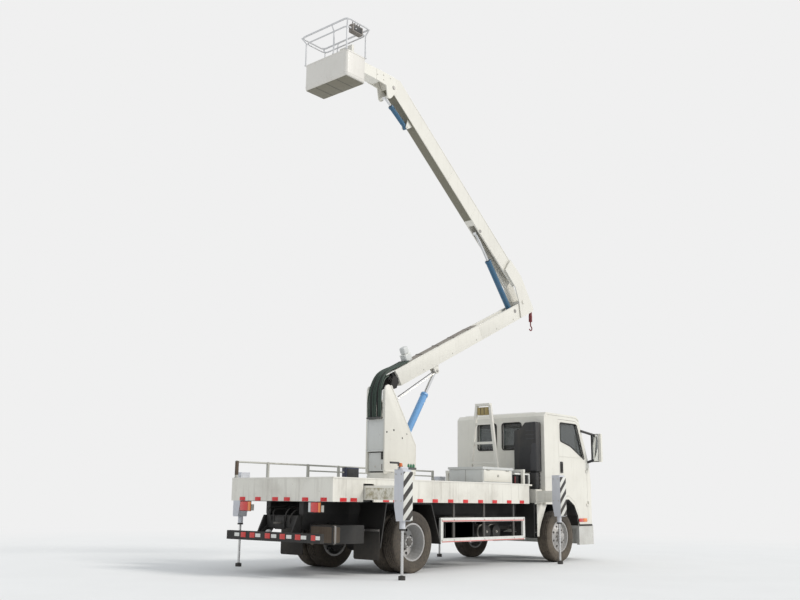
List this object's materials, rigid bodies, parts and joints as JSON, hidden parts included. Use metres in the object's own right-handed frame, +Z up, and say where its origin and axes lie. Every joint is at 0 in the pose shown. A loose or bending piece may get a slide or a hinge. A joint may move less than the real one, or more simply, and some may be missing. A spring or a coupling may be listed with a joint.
{
  "type": "cherry picker truck",
  "caption": "Cab-over truck with a slewing turret, a two-part folding boom with a work basket at its tip, and extended outriggers on jacks.",
  "frame": {"origin": "centre of the whole truck's box on the ground", "axes": "+X towards the cab's front, +Y to the truck's left side, +Z up"},
  "size_m": [8.12, 4.014, 9.709],
  "materials": {
    "cream_paint": "semi-gloss cream enamel",
    "white_paint": "semi-gloss white enamel",
    "chassis_black": "satin black chassis paint",
    "rubber": "dusty tyre rubber",
    "rim_grey": "silver-grey wheel paint",
    "chrome": "hard chrome rod",
    "cylinder_blue": "gloss blue enamel",
    "cylinder_dark_blue": "gloss dark blue enamel",
    "hook_red": "worn dark red paint",
    "hose_green": "dark green hose covers",
    "glass": "clear tinted glass",
    "cab_trim": "grained dark plastic",
    "seat_cloth": "woven dark cloth",
    "rail_grey": "grey painted tube"
  },
  "bodies": {
    "chassis": {"frame": "chassis_black", "engine": "chassis_black", "front_axle": "chassis_black", "rear_axle": "chassis_black", "subframe": "chassis_black", "deck": "cream_paint", "railing": "rail_grey", "underrun_bar": "chassis_black", "fuel_tank": "chassis_black", "boom_rest": "white_paint", "equipment_box": "cream_paint", "air_intake": "cab_trim", "cab": "cream_paint", "windscreen": "glass", "rear_window": "glass", "seat_bench": "seat_cloth", "dashboard": "cab_trim", "bumper": "cream_paint", "grille": "cab_trim", "side_guard_left": "white_paint", "side_guard_right": "white_paint"},
    "turret": {"turret": "cream_paint", "hose_bundle": "hose_green"},
    "lower_boom": {"lower_boom": "cream_paint"},
    "upper_boom": {"upper_boom": "cream_paint"},
    "lift_barrel": {"lift_barrel": "cylinder_blue"},
    "lift_rod": {"lift_rod": "chrome"},
    "fold_barrel": {"fold_barrel": "cylinder_dark_blue"},
    "fold_rod": {"fold_rod": "chrome"},
    "level_barrel": {"level_barrel": "cylinder_dark_blue"},
    "level_rod": {"level_rod": "chrome"},
    "basket": {"basket_arm": "cream_paint", "basket_tub": "cream_paint", "basket_rails": "rail_grey"},
    "hook": {"hook": "hook_red"},
    "knuckle_left": {"knuckle_left": "chassis_black"},
    "wheel_front_left": {"rim_front_left": "rim_grey", "tyre_front_left": "rubber"},
    "wheel_rear_left": {"rim_rear_left": "rim_grey", "tyre_rear_left": "rubber", "tyre_rear_inner_left": "rubber"},
    "door_left": {"door_left": "cream_paint", "door_glass_left": "glass"},
    "outrigger_rear_left": {"outrigger_rear_left": "cream_paint"},
    "jack_rear_left": {"jack_rear_left": "rail_grey"},
    "outrigger_front_left": {"outrigger_front_left": "cream_paint"},
    "jack_front_left": {"jack_front_left": "rail_grey"},
    "knuckle_right": {"knuckle_right": "chassis_black"},
    "wheel_front_right": {"rim_front_right": "rim_grey", "tyre_front_right": "rubber"},
    "wheel_rear_right": {"rim_rear_right": "rim_grey", "tyre_rear_right": "rubber", "tyre_rear_inner_right": "rubber"},
    "door_right": {"door_right": "cream_paint", "door_glass_right": "glass"},
    "outrigger_rear_right": {"outrigger_rear_right": "cream_paint"},
    "jack_rear_right": {"jack_rear_right": "rail_grey"},
    "outrigger_front_right": {"outrigger_front_right": "cream_paint"},
    "jack_front_right": {"jack_front_right": "rail_grey"}
  },
  "joints": [
    {"name": "slew", "type": "hinge", "parent": "chassis", "child": "turret", "pos_m": [-1.25, 0, 1.6], "axis": [0, 0, 1], "continuous": true},
    {"name": "lower_boom_lift", "type": "hinge", "parent": "turret", "child": "lower_boom", "pos_m": [-1.34, 0, 3.33], "axis": [0, -1, 0], "range_deg": [-25.4, 49.6]},
    {"name": "upper_boom_fold", "type": "hinge", "parent": "lower_boom", "child": "upper_boom", "pos_m": [2.93984, 0, 5.53048], "axis": [0, 1, 0], "range_deg": [-59.6, 71.8]},
    {"name": "basket_level", "type": "hinge", "parent": "upper_boom", "child": "basket", "pos_m": [-1.45021, 0, 9.09902], "axis": [0, -1, 0], "range_deg": [-34.2, 22.2]},
    {"name": "lift_barrel_swing", "type": "hinge", "parent": "turret", "child": "lift_barrel", "pos_m": [-1.26, 0, 1.72], "axis": [0, -1, 0], "range_deg": [-11.6, 22.5]},
    {"name": "lift_rod_slide", "type": "slide", "parent": "lift_barrel", "child": "lift_rod", "axis": [0.5497, 0, 0.8354], "range_m": [-0.38, 0.74]},
    {"name": "fold_barrel_swing", "type": "hinge", "parent": "lower_boom", "child": "fold_barrel", "pos_m": [2.6584, 0, 5.28393], "axis": [0, 1, 0], "range_deg": [-58.6, 70.6]},
    {"name": "fold_rod_slide", "type": "slide", "parent": "fold_barrel", "child": "fold_rod", "axis": [-0.6389, 0, 0.7693], "range_m": [-0.31, 0.373]},
    {"name": "level_barrel_swing", "type": "hinge", "parent": "upper_boom", "child": "level_barrel", "pos_m": [-0.95032, 0, 8.45942], "axis": [0, -1, 0], "range_deg": [-0.8, 0.6]},
    {"name": "level_rod_slide", "type": "slide", "parent": "level_barrel", "child": "level_rod", "axis": [-0.8322, 0, 0.5544], "range_m": [-0.1, 0.151]},
    {"name": "hook_swing", "type": "hinge", "parent": "lower_boom", "child": "hook", "pos_m": [3.47543, 0, 5.42834], "axis": [0, 1, 0], "range_deg": [-25.4, 49.6]},
    {"name": "steer_left", "type": "hinge", "parent": "chassis", "child": "knuckle_left", "pos_m": [2.6, 0.86, 0.5], "axis": [0, 0, 1], "range_deg": [-35, 35]},
    {"name": "spin_front_left", "type": "hinge", "parent": "knuckle_left", "child": "wheel_front_left", "pos_m": [2.6, 1.06, 0.5], "axis": [0, 1, 0], "continuous": true},
    {"name": "spin_rear_left", "type": "hinge", "parent": "chassis", "child": "wheel_rear_left", "pos_m": [-2, 1.06, 0.5], "axis": [0, 1, 0], "continuous": true},
    {"name": "door_left_hinge", "type": "hinge", "parent": "chassis", "child": "door_left", "pos_m": [3.872, 1.124, 1.85], "axis": [0, 0, -1], "range_deg": [0, 70]},
    {"name": "outrigger_rear_left_slide", "type": "slide", "parent": "chassis", "child": "outrigger_rear_left", "axis": [0, 1, 0], "range_m": [-0.61, 0]},
    {"name": "jack_rear_left_slide", "type": "slide", "parent": "outrigger_rear_left", "child": "jack_rear_left", "axis": [0, 0, -1], "range_m": [-0.62, 0]},
    {"name": "outrigger_front_left_slide", "type": "slide", "parent": "chassis", "child": "outrigger_front_left", "axis": [0, 1, 0], "range_m": [-0.35, 0]},
    {"name": "jack_front_left_slide", "type": "slide", "parent": "outrigger_front_left", "child": "jack_front_left", "axis": [0, 0, -1], "range_m": [-0.62, 0]},
    {"name": "steer_right", "type": "hinge", "parent": "chassis", "child": "knuckle_right", "pos_m": [2.6, -0.86, 0.5], "axis": [0, 0, 1], "range_deg": [-35, 35]},
    {"name": "spin_front_right", "type": "hinge", "parent": "knuckle_right", "child": "wheel_front_right", "pos_m": [2.6, -1.06, 0.5], "axis": [0, 1, 0], "continuous": true},
    {"name": "spin_rear_right", "type": "hinge", "parent": "chassis", "child": "wheel_rear_right", "pos_m": [-2, -1.06, 0.5], "axis": [0, 1, 0], "continuous": true},
    {"name": "door_right_hinge", "type": "hinge", "parent": "chassis", "child": "door_right", "pos_m": [3.872, -1.124, 1.85], "axis": [0, 0, 1], "range_deg": [0, 70]},
    {"name": "outrigger_rear_right_slide", "type": "slide", "parent": "chassis", "child": "outrigger_rear_right", "axis": [0, -1, 0], "range_m": [-0.61, 0]},
    {"name": "jack_rear_right_slide", "type": "slide", "parent": "outrigger_rear_right", "child": "jack_rear_right", "axis": [0, 0, -1], "range_m": [-0.62, 0]},
    {"name": "outrigger_front_right_slide", "type": "slide", "parent": "chassis", "child": "outrigger_front_right", "axis": [0, -1, 0], "range_m": [-0.35, 0]},
    {"name": "jack_front_right_slide", "type": "slide", "parent": "outrigger_front_right", "child": "jack_front_right", "axis": [0, 0, -1], "range_m": [-0.62, 0]}
  ],
  "couplings": [
    {"joint": "steer_right", "follows": "steer_left", "ratio": 1},
    {"joint": "lift_barrel_swing", "follows": "lower_boom_lift", "ratio": 0.4497},
    {"joint": "lift_rod_slide", "follows": "lower_boom_lift", "m_per_rad": 0.85},
    {"joint": "fold_barrel_swing", "follows": "upper_boom_fold", "ratio": 0.98},
    {"joint": "fold_rod_slide", "follows": "upper_boom_fold", "m_per_rad": 0.295},
    {"joint": "level_barrel_swing", "follows": "basket_level", "ratio": 0.022},
    {"joint": "level_rod_slide", "follows": "basket_level", "m_per_rad": -0.2491}
  ]
}
